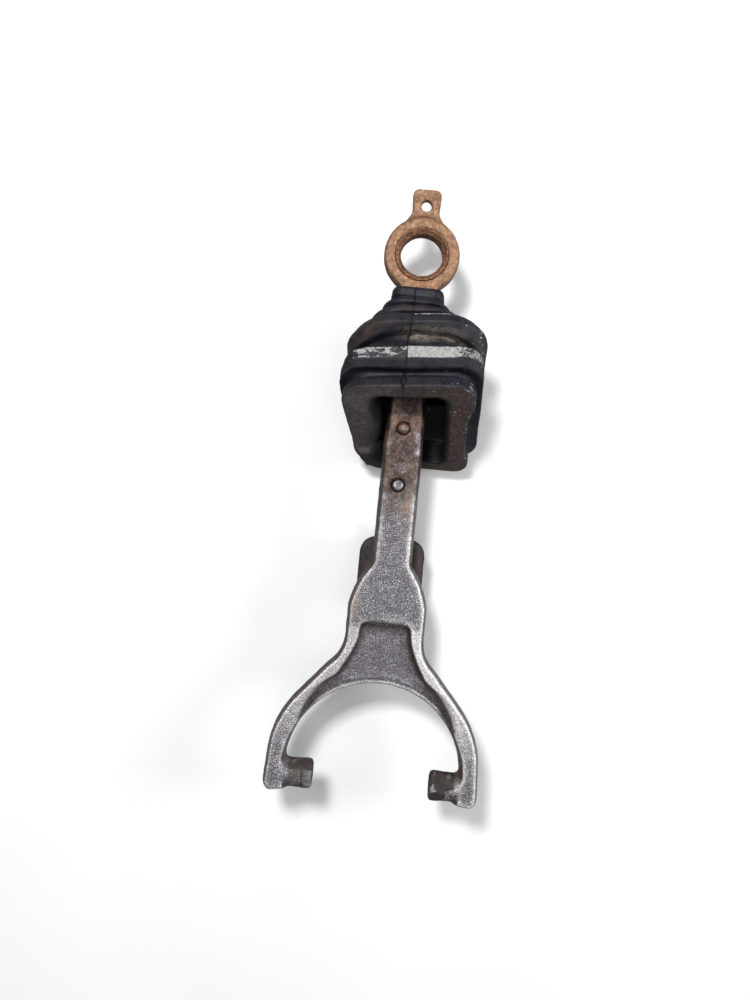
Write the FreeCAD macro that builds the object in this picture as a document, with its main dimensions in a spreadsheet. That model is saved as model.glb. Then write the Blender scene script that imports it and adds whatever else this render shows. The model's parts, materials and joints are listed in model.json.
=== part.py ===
import FreeCAD, Part
import math
import os

import Sketcher
from FreeCAD import Vector

# Clutch release fork with its split rubber dust boot.
# Frame: the origin is the centre of the pivot ball, in the mouth of the cup behind the lever.
# +Y runs along the arm to the eye, +X is across the fork and +Z comes out of the lever's front.
# All sizes are in millimetres.

SIZES = {
    # The lever's plan, measured from the pivot.
    "pivot_to_eye": 174.0,
    "pivot_to_pads": 114.4,
    "pivot_to_arm_middle": 24.0,
    # Arm.
    "arm_width": 20.0,
    "arm_foot_width": 21.8,
    "arm_thickness": 15.5,
    "arm_taper_top": 95.0,
    "arm_taper_end": 70.0,
    "forging_edge_round": 2.0,
    # Eye and tab.
    "eye_outer_radius": 20.75,
    "eye_thickness": 14.0,
    "eye_edge_round": 3.0,
    "seat_outer_radius": 14.3,
    "seat_bore_radius": 11.6,
    "seat_chamfer": 2.0,
    "tab_width": 16.0,
    "tab_thickness": 6.5,
    "tab_reach": 36.6,
    "tab_corner": 3.0,
    "tab_hole_radius": 3.0,
    "tab_hole_reach": 27.6,
    "tab_straight": 13.0,
    "tab_narrowing": 0.6,
    "tab_foot_spread": 3.0,
    # Flared body.
    "flare_top": 4.5,
    "flare_width": 43.4,
    "flare_drop": 19.0,
    "flare_bulge": 4.0,
    "waist_width": 43.2,
    "shoulder_round_height": 15.5,
    "shoulder_via_spread": 2.2,
    "shoulder_via_drop": 8.8,
    # Fork.
    "fork_width": 118.0,
    "fork_arm_width": 11.0,
    "arch_lift": 4.9,
    "shoulder_wall": 16.8,
    "elbow_wall": 11.8,
    "lower_arm_wall": 11.5,
    "wrist_wall": 10.6,
    "pad_gap": 64.0,
    "pad_radius": 8.25,
    "pad_cap_length": 5.5,
    "pad_shank_radius": 7.9,
    "pad_chamfer": 0.8,
    "pad_root": 4.0,
    "tip_overhang": 2.35,
    "heel_drop": 14.0,
    "tip_round_width": 4.0,
    "tip_round_height": 6.6,
    # Web between the two ridges.
    "web_thickness": 6.5,
    "web_top_width": 24.4,
    "web_drop": 10.0,
    "web_side_wall": 8.0,
    "web_elbow_wall": 3.3,
    "web_end_overrun": 1.0,
    "web_straight": 9.0,
    "web_spread": 1.0,
    "web_via_in": 6.0,
    "web_via_up": 10.0,
    # Pivot boss and its cup.
    "boss_width": 36.4,
    "boss_corner": 9.0,
    "ball_radius": 9.0,
    "cup_wall": 1.5,
    # Rivets and the spring strip that they hold.
    "upper_rivet_height": 78.6,
    "lower_rivet_height": 47.6,
    "rivet_side": -0.9,
    "rivet_radius": 2.5,
    "rivet_head_radius": 3.05,
    "rivet_head_height": 1.9,
    "rivet_tail_radius": 3.6,
    "rivet_tail_height": 1.5,
    "rivet_tail_slope": 1.0,
    "tube_rivet_bore": 1.3,
    "tube_lip_width": 0.6,
    "tube_lip_drop": 0.3,
    "mandrel_recess": 0.6,
    "mandrel_head_radius": 2.1,
    "mandrel_head_height": 1.2,
    "mandrel_head_slope": 0.5,
    "strip_thickness": 1.2,
    "strip_width": 15.0,
    "strip_top": 88.0,
    "strip_bend_gap": 19.0,
    "strip_boss_gap": 3.2,
    "strip_landing": 2.0,
    "strip_widening_start": 3.0,
    "strip_widening_end": 4.0,
    "prong_width": 4.5,
    "prong_inside_ball": 0.25,
    "prong_reach": 13.0,
    "prong_curl_length": 3.0,
    "prong_curl_rise": 1.9,
    # Dust boot.
    "boot_clearance": 0.35,
    "boot_wall": 3.0,
    "boot_corner": 13.0,
    "boot_hole_corner": 1.5,
    "mouth_width": 40.0,
    "mouth_height": 55.0,
    "mouth_corner": 9.0,
    "groove_depth": 4.5,
    # How far a cutting tool starts or ends outside the metal.
    "cut_clearance": 1.0,
}

# How far in from a square corner the middle of its rounding lies, as a share of the radius.
CORNER_SHARE = 1 - math.sqrt(0.5)
# Where the middle of a rivet head's dome lies, as shares of its radius and height.
DOME_SHARES = (0.75, 0.70)
# How deep the arm and the tab run into the eye, as the share of its radius that they stop at.
ARM_INTO_EYE = 0.92
TAB_INTO_EYE = 0.85
# Degrees above the level of the arch's centre at which the points of the fork and its web lie.
SHOULDER_ANGLE = 63
ELBOW_ANGLE = 41
LOWER_ARM_ANGLE = 26
WRIST_ANGLE = 8
WEB_SIDE_ANGLE = 65
# A corner of the boot takes up at most this share of its ring's half width or half height.
LARGEST_CORNER = 0.45
TOLERANCE = 1e-4

# Rings of the boot, from the neck to the mouth. Each is a rounded rectangle that leans with the boot.
# Its front edge and its back edge lie so far below the eye's centre, and stand out so far from the
# arm's front, back and sides.
RING_SIZES = ("front_drop", "front_proud", "back_drop", "back_proud", "side_proud")
RINGS = {
    "neck_top": (19.3, 3.25, 21.5, 3.25, 3.0),
    "neck_bead": (24.0, 5.25, 29.5, 5.75, 4.5),
    "small_valley_upper": (25.5, 4.75, 34.0, 5.75, 4.5),
    "small_fold_upper": (27.0, 8.75, 39.0, 9.75, 8.5),
    "small_valley_lower": (30.0, 7.75, 44.0, 8.25, 9.0),
    "small_fold_lower": (31.5, 12.75, 50.0, 13.25, 14.0),
    "large_valley_upper": (34.5, 11.25, 56.0, 11.25, 15.0),
    "large_fold_upper": (36.2, 19.25, 62.0, 18.25, 25.0),
    "large_fold_middle": (42.0, 22.75, 70.0, 20.25, 28.75),
    "large_fold_lower": (47.0, 20.75, 75.0, 18.75, 27.5),
    "large_valley_lower": (50.0, 14.25, 79.0, 12.25, 21.0),
    "skirt_upper": (55.2, 23.25, 93.0, 19.75, 28.0),
    "skirt_middle": (60.4, 24.25, 99.0, 20.65, 29.5),
    "skirt_lower": (65.5, 22.75, 106.0, 20.65, 29.5),
    "flange_back": (70.0, 22.55, 110.2, 20.65, 26.5),
    "flange_front": (75.4, 26.25, 115.6, 16.95, 26.5),
}


class Size:
    """A value of the size sheet, or one worked out from such values, with its formula."""

    def __init__(self, value, formula):
        self.value = float(value)
        self.formula = formula

    def _pair(self, other, sign, value):
        return Size(value, f"({self.formula} {sign} {other.formula})")

    def __add__(self, other):
        other = as_size(other)
        return self._pair(other, "+", self.value + other.value)

    def __sub__(self, other):
        other = as_size(other)
        return self._pair(other, "-", self.value - other.value)

    def __rsub__(self, other):
        return as_size(other) - self

    def __mul__(self, other):
        other = as_size(other)
        return self._pair(other, "*", self.value * other.value)

    def __truediv__(self, other):
        other = as_size(other)
        return self._pair(other, "/", self.value / other.value)

    def __neg__(self):
        return Size(-self.value, f"(-1 * {self.formula})")

    __radd__ = __add__
    __rmul__ = __mul__


def as_size(value):
    return value if isinstance(value, Size) else Size(value, repr(float(value)))


def root_of(size):
    """The square root of a size."""
    return Size(math.sqrt(size.value), f"sqrt({size.formula})")


class SizeSheet:
    """The document's spreadsheet. Each size is read by its alias."""

    def __init__(self, document):
        self.sheet = document.addObject("Spreadsheet::Sheet", "Sizes")
        self.rows = 0
        for alias, value in SIZES.items():
            self.write(alias, value)
        for ring, values in RINGS.items():
            for name, value in zip(RING_SIZES, values):
                self.write(f"{ring}_{name}", value)
        document.recompute()

    def write(self, alias, value):
        self.rows += 1
        self.sheet.set(f"A{self.rows}", alias)
        self.sheet.set(f"B{self.rows}", repr(value))
        self.sheet.setAlias(f"B{self.rows}", alias)

    def __getitem__(self, alias):
        return Size(self.sheet.get(alias), f"Sizes.{alias}")


def bind(thing, prop, size):
    """Ties one property to its formula."""
    thing.setExpression(prop, as_size(size).formula)


# ---------------------------------------------------------------- sketches and features

def new_body(name):
    body = doc.addObject("PartDesign::Body", name)
    body.Label = name
    return body


def origin_plane(body, role):
    for feature in body.Origin.OriginFeatures:
        if feature.Role == role:
            return feature


def new_sketch(body, name, role, lift=None):
    """A sketch on one of the body's own planes, lifted along the plane's normal."""
    sketch = body.newObject("Sketcher::SketchObject", name)
    sketch.AttachmentSupport = (origin_plane(body, role), [""])
    sketch.MapMode = "FlatFace"
    if lift is not None:
        bind(sketch, "AttachmentOffset.Base.z", lift)
    return sketch


def pin_point(sketch, geometry, end, x, y):
    """Ties a point of the sketch to its two coordinates."""
    for kind, size in (("DistanceX", x), ("DistanceY", y)):
        size = as_size(size)
        index = sketch.addConstraint(Sketcher.Constraint(kind, -1, 1, geometry, end, size.value))
        bind(sketch, f"Constraints[{index}]", size)


def flat(x, y):
    return Vector(as_size(x).value, as_size(y).value, 0)


def end_at(sketch, geometry, point):
    """Which end of a piece of the outline lies at the point: 1 is its start and 2 its finish."""
    return 1 if sketch.getPoint(geometry, 1).isEqual(point, 1e-6) else 2


def draw_outline(sketch, path):
    """A closed outline. Each step is a line to (x, y), or an arc to (x, y) through (via_x, via_y)."""
    pieces = []
    start = flat(*path[-1][:2])
    for step in path:
        end = flat(*step[:2])
        if len(step) == 4:
            curve = Part.Arc(start, flat(*step[2:]), end)
        else:
            curve = Part.LineSegment(start, end)
        geometry = sketch.addGeometry(curve, False)
        pieces.append((geometry, end_at(sketch, geometry, start), end_at(sketch, geometry, end), step))
        start = end
    for before, piece in zip(pieces[-1:] + pieces[:-1], pieces):
        sketch.addConstraint(Sketcher.Constraint("Coincident", before[0], before[2], piece[0], piece[1]))
    for geometry, _, finish, step in pieces:
        pin_point(sketch, geometry, finish, *step[:2])
        if len(step) == 4:
            via = sketch.addGeometry(Part.Point(flat(*step[2:])), True)
            sketch.addConstraint(Sketcher.Constraint("PointOnObject", via, 1, geometry))
            pin_point(sketch, via, 1, *step[2:])


def draw_circle(sketch, x, y, radius):
    """A circle tied to its centre and radius."""
    radius = as_size(radius)
    geometry = sketch.addGeometry(Part.Circle(flat(x, y), Vector(0, 0, 1), radius.value), False)
    pin_point(sketch, geometry, 3, x, y)
    index = sketch.addConstraint(Sketcher.Constraint("Radius", geometry, radius.value))
    bind(sketch, f"Constraints[{index}]", radius)


def mirrored_path(half, bridge=()):
    """A closed path from its right half, which runs from the top down.

    The bridge is the via point of the arc that joins the two lowest points, or nothing for a line."""
    path = list(half)
    via = bridge
    for step in reversed(half):
        path.append((-as_size(step[0]), step[1]) + via)
        via = (-as_size(step[2]), step[3]) if len(step) == 4 else ()
    return path


def rounded_rectangle(left, bottom, right, top, corner):
    """A rectangle's path with its four corners rounded."""
    inset = corner * CORNER_SHARE
    return [
        (right - corner, bottom),
        (right, bottom + corner, right - inset, bottom + inset),
        (right, top - corner),
        (right - corner, top, right - inset, top - inset),
        (left + corner, top),
        (left, top - corner, left + inset, top - inset),
        (left, bottom + corner),
        (left + corner, bottom, left + inset, bottom + inset),
    ]


def add_feature(body, kind, name, profile, length=None, midplane=False, backwards=False):
    """A Pad or Pocket of a sketch."""
    feature = body.newObject(f"PartDesign::{kind}", name)
    feature.Profile = profile
    if length is None:
        feature.Type = "ThroughAll"
    else:
        bind(feature, "Length", length)
    if midplane:
        feature.SideType = "Symmetric"
    feature.Reversed = backwards
    doc.recompute()
    return feature


def round_arm_edges(body, name, base, radius):
    """Rounds the four long edges of the arm, from the eye down to the flare."""
    edges = []
    for index, edge in enumerate(base.Shape.Edges, 1):
        box = edge.BoundBox
        level = box.ZLength < TOLERANCE
        along = box.YLength > box.XLength and box.YMin > size["flare_top"].value - TOLERANCE
        if level and along:
            edges.append(f"Edge{index}")
    feature = body.newObject("PartDesign::Fillet", name)
    feature.Base = (base, edges)
    bind(feature, "Radius", radius)
    doc.recompute()
    return feature


def turn_section(body, name, section, path, axis="V_Axis"):
    """A section turned right round one of its sketch's axes."""
    draw_outline(section, path)
    turned = body.newObject("PartDesign::Revolution", name)
    turned.Profile = section
    turned.ReferenceAxis = (section, [axis])
    turned.Angle = 360
    doc.recompute()
    return turned


def turned_body(name, path):
    """A body turned about its own Z axis. The path is half its section, as (radius, height)."""
    body = new_body(name)
    section = new_sketch(body, f"{name}_section", "XZ_Plane")
    turn_section(body, f"{name}_turned", section, path)
    return body


def draw_axis(section, start, end):
    """A construction line to turn a section about. It is the sketch's first, so it is called Axis0."""
    axis = section.addGeometry(Part.LineSegment(flat(*start), flat(*end)), True)
    pin_point(section, axis, 1, *start)
    pin_point(section, axis, 2, *end)


# ---------------------------------------------------------------- places that several pieces share

doc = FreeCAD.newDocument("release_fork")
size = SizeSheet(doc)

arm_middle = size["pivot_to_arm_middle"]
arm_front = arm_middle + size["arm_thickness"] / 2
arm_back = arm_middle - size["arm_thickness"] / 2
eye_height = size["pivot_to_eye"]
pad_height = -size["pivot_to_pads"]
strip_back = arm_back - size["strip_thickness"]
arch_radius = size["fork_width"] / 2 - size["fork_arm_width"]
arch_centre = pad_height + size["arch_lift"]


def around_arch(wall, angle):
    """A point that far outside the arch's edge, at an angle in degrees above the level of its centre."""
    radius = arch_radius + wall
    return radius * math.cos(math.radians(angle)), arch_centre + radius * math.sin(math.radians(angle))


# ---------------------------------------------------------------- release lever

def lever_plan():
    """The forging's outline, without its eye and tab."""
    shoulder = around_arch(size["shoulder_wall"], SHOULDER_ANGLE)
    elbow = around_arch(size["elbow_wall"], ELBOW_ANGLE)
    lower_arm = around_arch(size["lower_arm_wall"], LOWER_ARM_ANGLE)
    wrist = around_arch(size["wrist_wall"], WRIST_ANGLE)
    neck = (size["waist_width"] / 2, shoulder[1] + size["shoulder_round_height"])
    flare = (size["flare_width"] / 2, -size["flare_drop"])
    foot = size["arm_foot_width"] / 2
    side = size["fork_width"] / 2
    tip = pad_height - size["pad_radius"] - size["tip_overhang"]
    heel_drop = size["heel_drop"]
    heel = (root_of(arch_radius * arch_radius - heel_drop * heel_drop), arch_centre - heel_drop)
    round_width = size["tip_round_width"]
    round_height = size["tip_round_height"]
    half = [
        (size["arm_width"] / 2, eye_height - size["eye_outer_radius"] * ARM_INTO_EYE),
        (size["arm_width"] / 2, size["arm_taper_top"]),
        (foot, size["arm_taper_end"]),
        (foot, size["flare_top"]),
        (flare[0], flare[1], flare[0] - size["flare_bulge"], flare[1] / 3),
        neck,
        (shoulder[0], shoulder[1],
         neck[0] + size["shoulder_via_spread"], neck[1] - size["shoulder_via_drop"]),
        elbow,
        (wrist[0], wrist[1], lower_arm[0], lower_arm[1]),
        (side, tip + round_height),
        (side - round_width, tip, side - round_width * CORNER_SHARE, tip + round_height * CORNER_SHARE),
        heel,
    ]
    return mirrored_path(half, bridge=(0, arch_centre + arch_radius))


def web_plan():
    """The recess between the ridges. Its ends taper out along the arch's edge."""
    ridge = around_arch(size["web_side_wall"], WEB_SIDE_ANGLE)
    elbow = around_arch(size["web_elbow_wall"], ELBOW_ANGLE)
    end = around_arch(-size["web_end_overrun"], LOWER_ARM_ANGLE)
    top = -(size["flare_drop"] + size["web_drop"])
    top_half = size["web_top_width"] / 2
    return mirrored_path([
        (top_half, top),
        (top_half + size["web_spread"], top - size["web_straight"]),
        (ridge[0], ridge[1], ridge[0] - size["web_via_in"], ridge[1] + size["web_via_up"]),
        (end[0], end[1], elbow[0], elbow[1]),
    ])


def tab_plan():
    """The tab above the eye, down to the eye's centre line."""
    half = size["tab_width"] / 2
    corner = size["tab_corner"]
    inset = corner * CORNER_SHARE
    top = eye_height + size["tab_reach"]
    foot = eye_height + size["eye_outer_radius"] * TAB_INTO_EYE
    return mirrored_path([
        (half - corner, top),
        (half, top - corner, half - inset, top - inset),
        (half - size["tab_narrowing"], top - size["tab_straight"]),
        (half + size["tab_foot_spread"], foot),
    ])


def turn_eye(body):
    """The eye: a disc with rounded rims, turned about its own axis. The seat's hole is cut later."""
    section = new_sketch(body, "eye_section", "YZ_Plane")
    front = arm_middle + size["eye_thickness"] / 2
    back = arm_middle - size["eye_thickness"] / 2
    rim = eye_height + size["eye_outer_radius"]
    edge = size["eye_edge_round"]
    inset = edge * CORNER_SHARE
    draw_axis(section, (eye_height, back), (eye_height, front))
    turn_section(body, "eye", section, [
        (eye_height, front),
        (rim - edge, front),
        (rim, front - edge, rim - inset, front - inset),
        (rim, back + edge),
        (rim - edge, back, rim - inset, back + inset),
        (eye_height, back),
    ], "Axis0")


def turn_pad(body):
    """The right pad: a round pin from its free end into the fork arm, with a larger cap."""
    section = new_sketch(body, "pad_section", "XY_Plane", arm_middle)
    free_end = size["pad_gap"] / 2
    root = arch_radius + size["pad_root"]
    cap_end = free_end + size["pad_cap_length"]
    cap = pad_height + size["pad_radius"]
    shank = pad_height + size["pad_shank_radius"]
    chamfer = size["pad_chamfer"]
    draw_axis(section, (free_end, pad_height), (root, pad_height))
    return turn_section(body, "pad", section, [
        (free_end, pad_height),
        (free_end, cap - chamfer),
        (free_end + chamfer, cap),
        (cap_end, cap),
        (cap_end, shank),
        (root, shank),
        (root, pad_height),
    ], "Axis0")


def build_release_lever():
    """One forging: eye, tab, arm, flare, web, fork arms, pads and the boss on its back."""
    body = new_body("release_lever")
    plan = new_sketch(body, "forging_plan", "XY_Plane", arm_middle)
    draw_outline(plan, lever_plan())
    forging = add_feature(body, "Pad", "forging", plan, size["arm_thickness"], midplane=True)
    round_arm_edges(body, "arm_edges", forging, size["forging_edge_round"])

    for side, lift, backwards in (("front", arm_front, False), ("back", arm_back, True)):
        recess = new_sketch(body, f"web_{side}_plan", "XY_Plane", lift)
        draw_outline(recess, web_plan())
        depth = (size["arm_thickness"] - size["web_thickness"]) / 2
        add_feature(body, "Pocket", f"web_{side}", recess, depth, backwards=backwards)

    turn_eye(body)

    tab = new_sketch(body, "tab_plan", "XY_Plane", arm_middle)
    draw_outline(tab, tab_plan())
    add_feature(body, "Pad", "tab", tab, size["tab_thickness"], midplane=True)

    boss = new_sketch(body, "boss_plan", "XY_Plane")
    half = size["boss_width"] / 2
    draw_outline(boss, rounded_rectangle(-half, -half, half, half, size["boss_corner"]))
    add_feature(body, "Pad", "boss", boss, arm_back)

    pad = turn_pad(body)
    pads = body.newObject("PartDesign::Mirrored", "pads")
    pads.Originals = [pad]
    pads.MirrorPlane = (origin_plane(body, "YZ_Plane"), [""])
    body.Tip = pads
    doc.recompute()

    holes = new_sketch(body, "hole_plan", "XY_Plane", arm_front + size["cut_clearance"])
    draw_circle(holes, 0, eye_height, size["seat_outer_radius"])
    draw_circle(holes, 0, eye_height + size["tab_hole_reach"], size["tab_hole_radius"])
    for rivet in ("upper", "lower"):
        draw_circle(holes, size["rivet_side"], size[f"{rivet}_rivet_height"], size["rivet_radius"])
    add_feature(body, "Pocket", "holes", holes)

    socket = body.newObject("PartDesign::SubtractiveSphere", "cup_socket")
    bind(socket, "Radius", size["ball_radius"] + size["cup_wall"])
    doc.recompute()
    return body


# ---------------------------------------------------------------- pressed and riveted pieces

def build_eye_seat():
    """The hardened bush in the eye, with a coned mouth at each end."""
    outer = size["seat_outer_radius"]
    bore = size["seat_bore_radius"]
    half = size["eye_thickness"] / 2
    cone = size["seat_chamfer"]
    body = turned_body("eye_seat", [
        (bore, half - cone),
        (bore + cone, half),
        (outer, half),
        (outer, -half),
        (bore + cone, -half),
        (bore, -half + cone),
    ])
    bind(body, "Placement.Base.y", eye_height)
    bind(body, "Placement.Base.z", arm_middle)


def build_pivot_cup():
    """The pressed cup that the ball stud sits in: a half shell, open towards the back."""
    inner = size["ball_radius"]
    outer = inner + size["cup_wall"]
    slant = math.sqrt(0.5)
    turned_body("pivot_cup", [
        (inner, 0),
        (0, inner, inner * slant, inner * slant),
        (0, outer),
        (outer, 0, outer * slant, outer * slant),
    ])


def build_rivet_upper():
    """A solid rivet with a domed head in front and a flatter tail behind the strip."""
    head = size["rivet_head_radius"]
    head_height = size["rivet_head_height"]
    tail = strip_back - size["rivet_tail_height"]
    across, up = DOME_SHARES
    body = turned_body("rivet_upper", [
        (0, arm_front + head_height),
        (head, arm_front, head * across, arm_front + head_height * up),
        (size["rivet_radius"], arm_front),
        (size["rivet_radius"], strip_back),
        (size["rivet_tail_radius"], strip_back),
        (size["rivet_tail_radius"] - size["rivet_tail_slope"], tail),
        (0, tail),
    ])
    bind(body, "Placement.Base.x", size["rivet_side"])
    bind(body, "Placement.Base.y", size["upper_rivet_height"])


def build_rivet_lower():
    """A tubular rivet and the mandrel that set it."""
    bore = size["tube_rivet_bore"]
    lip = bore + size["tube_lip_width"]
    head_radius = size["rivet_head_radius"]
    head = arm_front + size["rivet_head_height"]
    tail = strip_back - size["rivet_tail_height"]
    across, up = DOME_SHARES
    tube = turned_body("rivet_lower", [
        (bore, head - size["tube_lip_drop"]),
        (lip, head),
        (head_radius, arm_front,
         lip + (head_radius - lip) * across, arm_front + size["rivet_head_height"] * up),
        (size["rivet_radius"], arm_front),
        (size["rivet_radius"], strip_back),
        (size["rivet_tail_radius"], strip_back),
        (size["rivet_tail_radius"] - size["rivet_tail_slope"], tail),
        (bore, tail),
    ])
    mandrel_top = head - size["mandrel_recess"]
    mandrel_end = tail - size["mandrel_head_height"]
    mandrel = turned_body("rivet_lower_mandrel", [
        (bore, mandrel_top),
        (bore, tail),
        (size["mandrel_head_radius"], tail),
        (size["mandrel_head_radius"] - size["mandrel_head_slope"], mandrel_end),
        (0, mandrel_end),
        (0, mandrel_top),
    ])
    for body in (tube, mandrel):
        bind(body, "Placement.Base.x", size["rivet_side"])
        bind(body, "Placement.Base.y", size["lower_rivet_height"])


def bend_shift(thick, run, rise):
    """How far a strip's outer corner lies past its inner one, where it turns from level to the slope."""
    return thick * (root_of(run * run + rise * rise) - run) / rise


def build_retaining_spring():
    """The strip behind the arm. It bends out over the boss and ends in two prongs beside the ball."""
    body = new_body("retaining_spring")
    thick = size["strip_thickness"]
    boss_top = size["boss_width"] / 2
    bend = boss_top + size["strip_bend_gap"]
    landing = boss_top + size["strip_landing"]
    reach = -size["prong_reach"]
    prong_front = -size["strip_boss_gap"]
    bend_out = bend_shift(thick, bend - landing, arm_back - prong_front)
    curl = size["prong_curl_length"]
    rise = size["prong_curl_rise"]
    curl_out = bend_shift(thick, curl, rise)
    slope = root_of(curl * curl + rise * rise)
    side = new_sketch(body, "strip_side", "YZ_Plane")
    draw_outline(side, [
        (size["strip_top"], arm_back),
        (bend, arm_back),
        (landing, prong_front),
        (reach, prong_front),
        (reach - curl, prong_front + rise),
        (reach - curl - thick * rise / slope, prong_front + rise - thick * curl / slope),
        (reach - curl_out, prong_front - thick),
        (landing + bend_out, prong_front - thick),
        (bend + bend_out, strip_back),
        (size["strip_top"], strip_back),
    ])
    slot_half = size["ball_radius"] - size["prong_inside_ball"]
    outer_half = slot_half + size["prong_width"]
    clearance = size["cut_clearance"]
    add_feature(body, "Pad", "strip", side, 2 * outer_half, midplane=True)
    for name, sign in (("right", 1), ("left", -1)):
        narrow = sign * (size["strip_width"] / 2)
        wide = sign * outer_half
        outside = sign * (outer_half + clearance)
        trim = new_sketch(body, f"trim_{name}_plan", "XY_Plane", arm_front)
        draw_outline(trim, [
            (narrow, size["strip_top"] + clearance),
            (narrow, boss_top + size["strip_widening_start"]),
            (wide, boss_top - size["strip_widening_end"]),
            (outside, boss_top - size["strip_widening_end"]),
            (outside, size["strip_top"] + clearance),
        ])
        add_feature(body, "Pocket", f"trim_{name}", trim)
    slot_end = reach - 2 * curl
    cuts = new_sketch(body, "slot_plan", "XY_Plane", arm_front)
    draw_outline(cuts, [
        (slot_half, 0),
        (-slot_half, 0, 0, slot_half),
        (-slot_half, slot_end),
        (slot_half, slot_end),
    ])
    for rivet in ("upper", "lower"):
        draw_circle(cuts, size["rivet_side"], size[f"{rivet}_rivet_height"], size["rivet_radius"])
    add_feature(body, "Pocket", "slot_and_rivet_holes", cuts)


# ---------------------------------------------------------------- dust boot

def ring_edges(name):
    """The front and back edges of one ring, each as its height and depth, and the ring's half width."""
    half_arm = size["arm_thickness"].value / 2
    values = [size[f"{name}_{part}"].value for part in RING_SIZES]
    front_drop, front_proud, back_drop, back_proud, side_proud = values
    front = Vector(0, eye_height.value - front_drop, arm_middle.value + half_arm + front_proud)
    back = Vector(0, eye_height.value - back_drop, arm_middle.value - half_arm - back_proud)
    return front, back, size["arm_width"].value / 2 + side_proud


def rounded_wire(front, back, half_width, corner):
    """A rounded rectangle that stands on the line from its back edge to its front edge."""
    centre = (front + back) * 0.5
    up = front - back
    half_height = up.Length / 2
    up.normalize()
    across = Vector(1, 0, 0)
    corner = min(corner, LARGEST_CORNER * half_height, LARGEST_CORNER * half_width)

    def place(x, y):
        return centre + across * x + up * y

    edges = []
    for turn in range(4):
        sign_x = 1 if turn in (0, 3) else -1
        sign_y = 1 if turn in (0, 1) else -1
        sides = [
            (sign_x * half_width, sign_y * (half_height - corner)),
            (sign_x * (half_width - corner), sign_y * half_height),
        ]
        if turn in (1, 3):
            sides.reverse()
        slant = corner * CORNER_SHARE
        middle = place(sign_x * (half_width - slant), sign_y * (half_height - slant))
        if edges:
            edges.append(Part.makeLine(edges[-1].Vertexes[-1].Point, place(*sides[0])))
        edges.append(Part.Arc(place(*sides[0]), middle, place(*sides[1])).toShape())
    edges.append(Part.makeLine(edges[-1].Vertexes[-1].Point, edges[0].Vertexes[0].Point))
    return Part.Wire(edges)


def outer_ring(name):
    front, back, half_width = ring_edges(name)
    return rounded_wire(front, back, half_width, size["boot_corner"].value)


def inner_ring(name):
    """The ring's inside, one wall in from its outside."""
    front, back, half_width = ring_edges(name)
    wall = size["boot_wall"].value
    inward = (front - back).normalize() * wall
    return rounded_wire(front - inward, back + inward, half_width - wall, size["boot_corner"].value - wall)


def arm_ring(name):
    """The arm's own section, with the boot's clearance, cut by the plane of the ring."""
    front, back, _ = ring_edges(name)
    gap = size["boot_clearance"].value
    slope = (front - back) * (1 / (front.z - back.z))
    middle = front - slope * (front.z - arm_middle.value)
    reach = size["arm_thickness"].value / 2 + gap
    half_width = size["arm_width"].value / 2 + gap
    corner = size["boot_hole_corner"].value
    return rounded_wire(middle + slope * reach, middle - slope * reach, half_width, corner)


def mouth_ring(name):
    """The mouth, in the plane of the ring."""
    front, back, _ = ring_edges(name)
    centre = (front + back) * 0.5
    reach = (front - back).normalize() * (size["mouth_height"].value / 2)
    half_width = size["mouth_width"].value / 2
    return rounded_wire(centre + reach, centre - reach, half_width, size["mouth_corner"].value)


def groove_ring(name):
    """The bottom of the groove that the housing's edge sits in, in the plane of the ring."""
    front, back, half_width = ring_edges(name)
    depth = size["groove_depth"].value
    inward = (front - back).normalize() * depth
    return rounded_wire(front - inward, back + inward, half_width - depth, size["boot_corner"].value)


def loft(rings):
    """A solid skin drawn straight from ring to ring."""
    return Part.makeLoft(rings, True, True)


def soft_piece(name, outside, inside):
    """A hollow rubber piece: its outside less its inside."""
    piece = doc.addObject("Part::Feature", name)
    piece.Label = name
    piece.Shape = outside.cut(inside)


def build_boot():
    """The boot is one moulding. It is in three nodes, which meet face to face, so that it can flex."""
    names = list(RINGS)
    bead = names.index("neck_bead")
    skirt = names.index("skirt_lower")
    neck = names[:bead + 1]
    hole = loft([arm_ring(name) for name in neck])
    soft_piece("boot_neck", loft([outer_ring(name) for name in neck]), hole)

    folds = loft([outer_ring(name) for name in names[bead:skirt + 1]])
    walls = [inner_ring(name) for name in names[bead + 1:skirt]]
    inside = loft([arm_ring("neck_bead")] + walls + [mouth_ring("skirt_lower")])
    soft_piece("boot_bellows", folds, inside)

    plate = loft([outer_ring("flange_back"), outer_ring("flange_front")])
    groove = loft([groove_ring("skirt_lower"), groove_ring("flange_back")])
    mouth = loft([mouth_ring("skirt_lower"), mouth_ring("flange_front")])
    soft_piece("boot_flange", plate.fuse(groove), mouth)


# ---------------------------------------------------------------- build and write

def find_pieces():
    """The finished sub-parts: every body and every piece made by a function."""
    return [item for item in doc.Objects if item.TypeId in ("PartDesign::Body", "Part::Feature")]


def check_model():
    """Stops the build where an object failed or a sub-part's shape isn't sound."""
    faults = [item.Name for item in doc.Objects if {"Invalid", "Error"} & set(item.State)]
    for piece in find_pieces():
        if piece.Shape.isNull() or not piece.Shape.isValid() or not piece.Shape.Solids:
            faults.append(piece.Label)
    if faults:
        raise RuntimeError("not sound: " + ", ".join(faults))


build_release_lever()
build_eye_seat()
build_pivot_cup()
build_rivet_upper()
build_rivet_lower()
build_retaining_spring()
build_boot()
doc.recompute()
check_model()
os.makedirs("parts", exist_ok=True)
for piece in find_pieces():
    piece.Shape.exportStep(f"parts/{piece.Label}.step")
    box = piece.Shape.BoundBox
    reach = [round(value, 1) for value in (box.XMin, box.YMin, box.ZMin, box.XMax, box.YMax, box.ZMax)]
    print(piece.Label, len(piece.Shape.Solids), round(piece.Shape.Volume), reach)
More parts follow.
